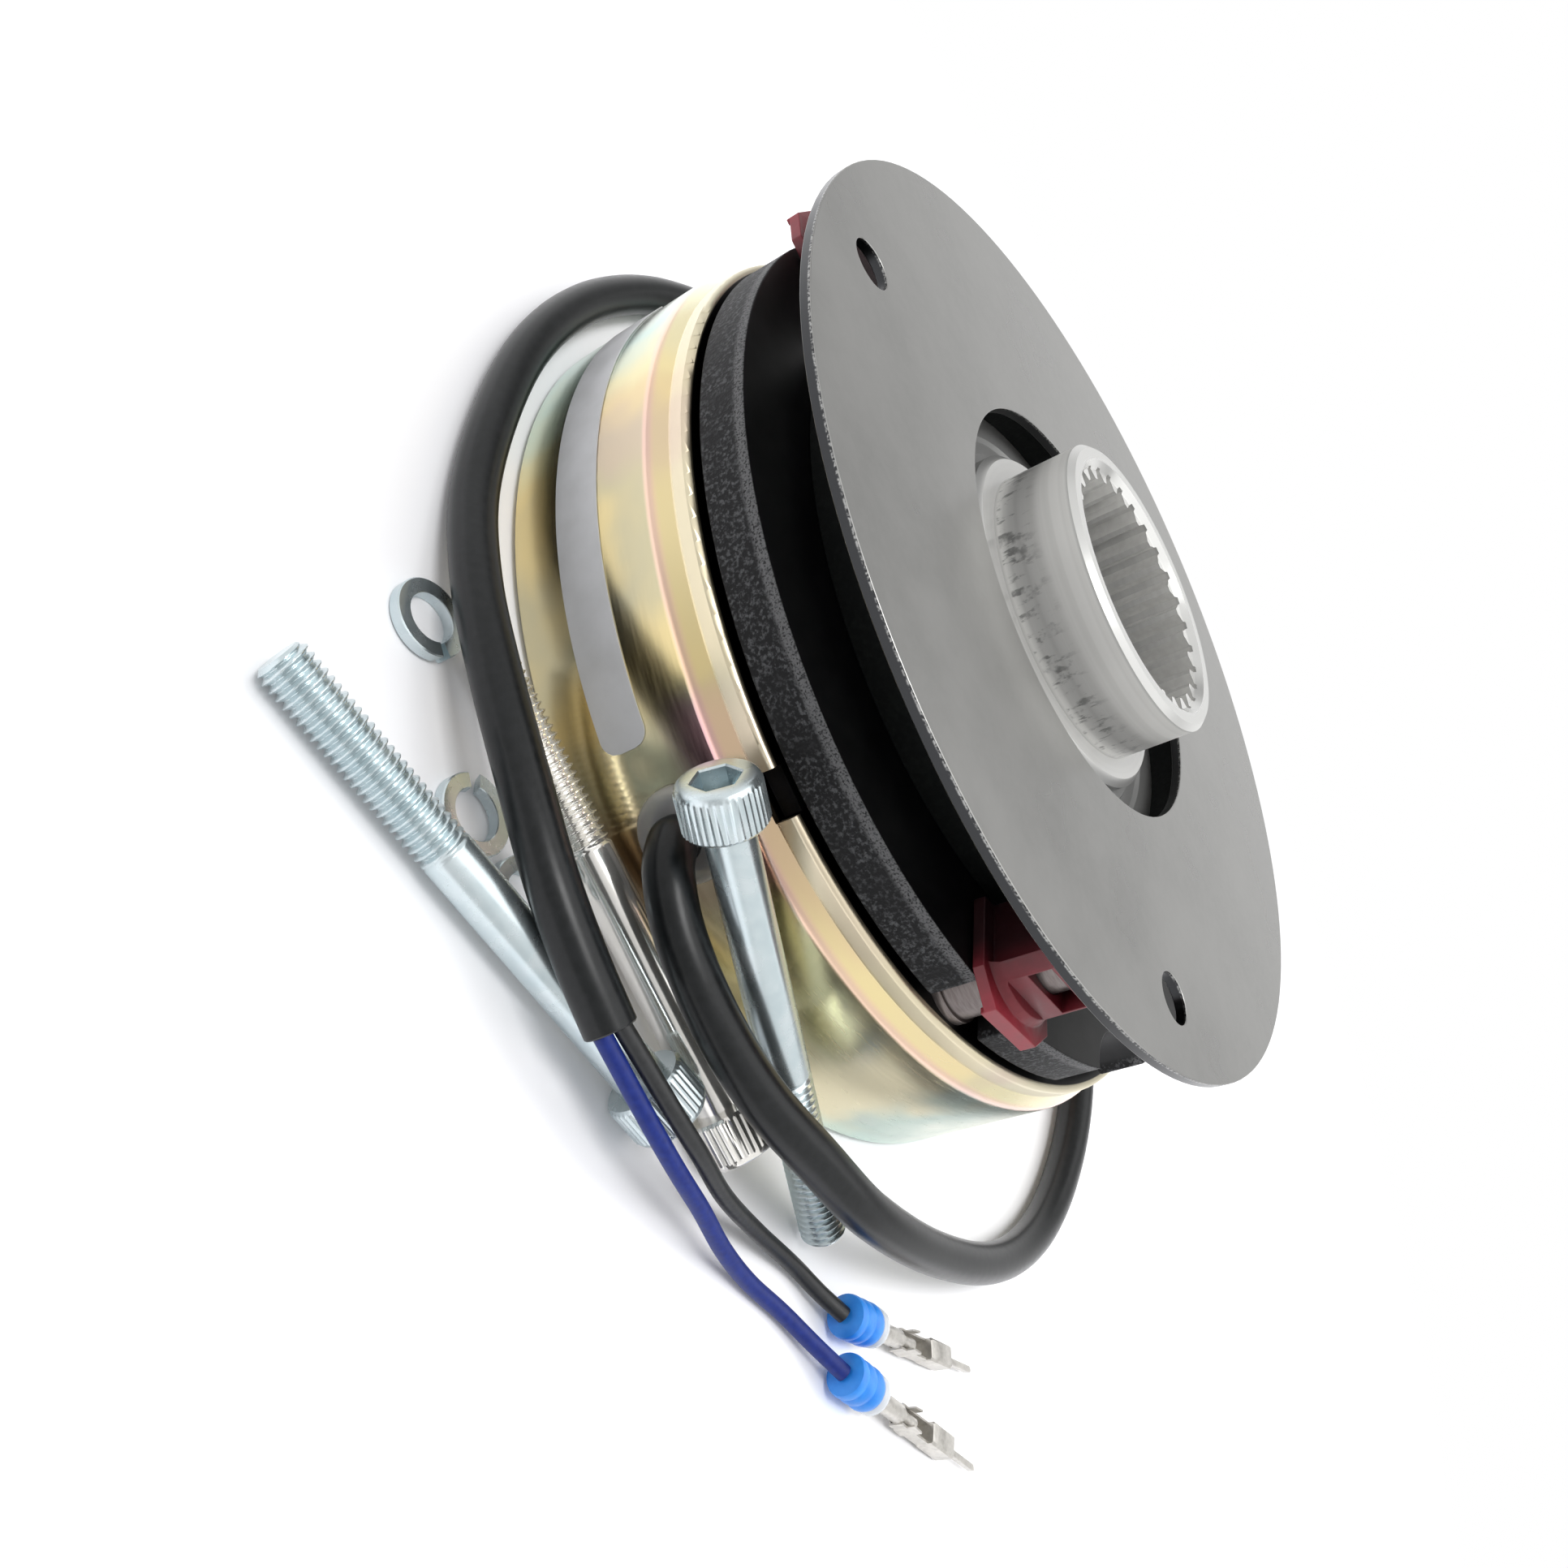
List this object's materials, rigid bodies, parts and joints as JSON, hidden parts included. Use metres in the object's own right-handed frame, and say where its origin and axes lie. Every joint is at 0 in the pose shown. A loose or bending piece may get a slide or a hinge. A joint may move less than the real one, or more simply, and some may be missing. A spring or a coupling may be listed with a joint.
{
  "type": "electromagnetic clutch",
  "caption": "Spring-applied electromagnetic clutch with a pot magnet, armature plate, splined friction rotor and flange plate, with its lead and loose screws.",
  "frame": {"origin": "centre of the magnet housing's rear face, on the shaft axis", "axes": "+Z along the shaft axis, from the magnet's rear face towards the flange plate; +X to the right of the cable exit as it is seen from outside, with the exit near -Y"},
  "size_m": [0.1763, 0.187, 0.0577],
  "materials": {
    "zinc_yellow": "yellow chromate zinc plating, glossy",
    "bobbin_plastic": "moulded nylon",
    "copper_wire": "enamelled copper winding",
    "potting_resin": "black cast resin",
    "spring_steel": "drawn wire",
    "sleeve_steel": "turned steel, pale zinc",
    "clip_plastic": "dark red moulded plastic",
    "grommet_plastic": "translucent moulded plastic",
    "label_foil": "bare silver-grey foil",
    "cable_black": "satin black jacket",
    "wire_black": "black insulation",
    "wire_blue": "royal blue insulation",
    "seal_blue": "blue silicone",
    "tin_plate": "tin-plated contact",
    "zinc_blue": "bright bluish zinc",
    "armature_steel": "dark phosphated steel",
    "hub_aluminium": "machined aluminium",
    "friction_lining": "dark green-grey friction material",
    "plate_steel": "grey satin nitrided steel"
  },
  "bodies": {
    "magnet": {"magnet_housing": "zinc_yellow", "coil_bobbin": "bobbin_plastic", "coil_winding": "copper_wire", "coil_potting": "potting_resin", "pressure_springs": "spring_steel", "spacer_sleeve_1": "sleeve_steel", "spacer_sleeve_2": "sleeve_steel", "spacer_sleeve_3": "sleeve_steel", "retaining_clip_1": "clip_plastic", "retaining_clip_2": "clip_plastic", "retaining_clip_3": "clip_plastic", "cable_grommet": "grommet_plastic", "label_strip": "label_foil", "cable_jacket": "cable_black", "wire_black": "wire_black", "wire_blue": "wire_blue", "wire_seal_black": "seal_blue", "wire_seal_blue": "seal_blue", "contact_pin_black": "tin_plate", "contact_pin_blue": "tin_plate", "mounting_screws": "zinc_blue", "lock_washers": "zinc_blue"},
    "armature": {"armature_plate": "armature_steel"},
    "rotor": {"rotor_hub": "hub_aluminium", "lining_lower": "friction_lining", "lining_upper": "friction_lining"},
    "plate": {"flange_plate": "plate_steel"}
  },
  "joints": [
    {"name": "armature_slide", "type": "slide", "parent": "magnet", "child": "armature", "axis": [0, 0, 1], "range_m": [-0.001, 0], "stiffness_N_per_m": 5000, "springref_m": 0.008, "deforming": ["pressure_springs"]},
    {"name": "rotor_spin", "type": "hinge", "parent": "magnet", "child": "rotor", "pos_m": [0, 0, 0.04235], "axis": [0, 0, 1], "continuous": true},
    {"name": "flange_plate_turn", "type": "hinge", "parent": "magnet", "child": "plate", "pos_m": [0, 0, 0.0471], "axis": [0, 0, 1], "range_deg": [-20.5, 0]}
  ]
}
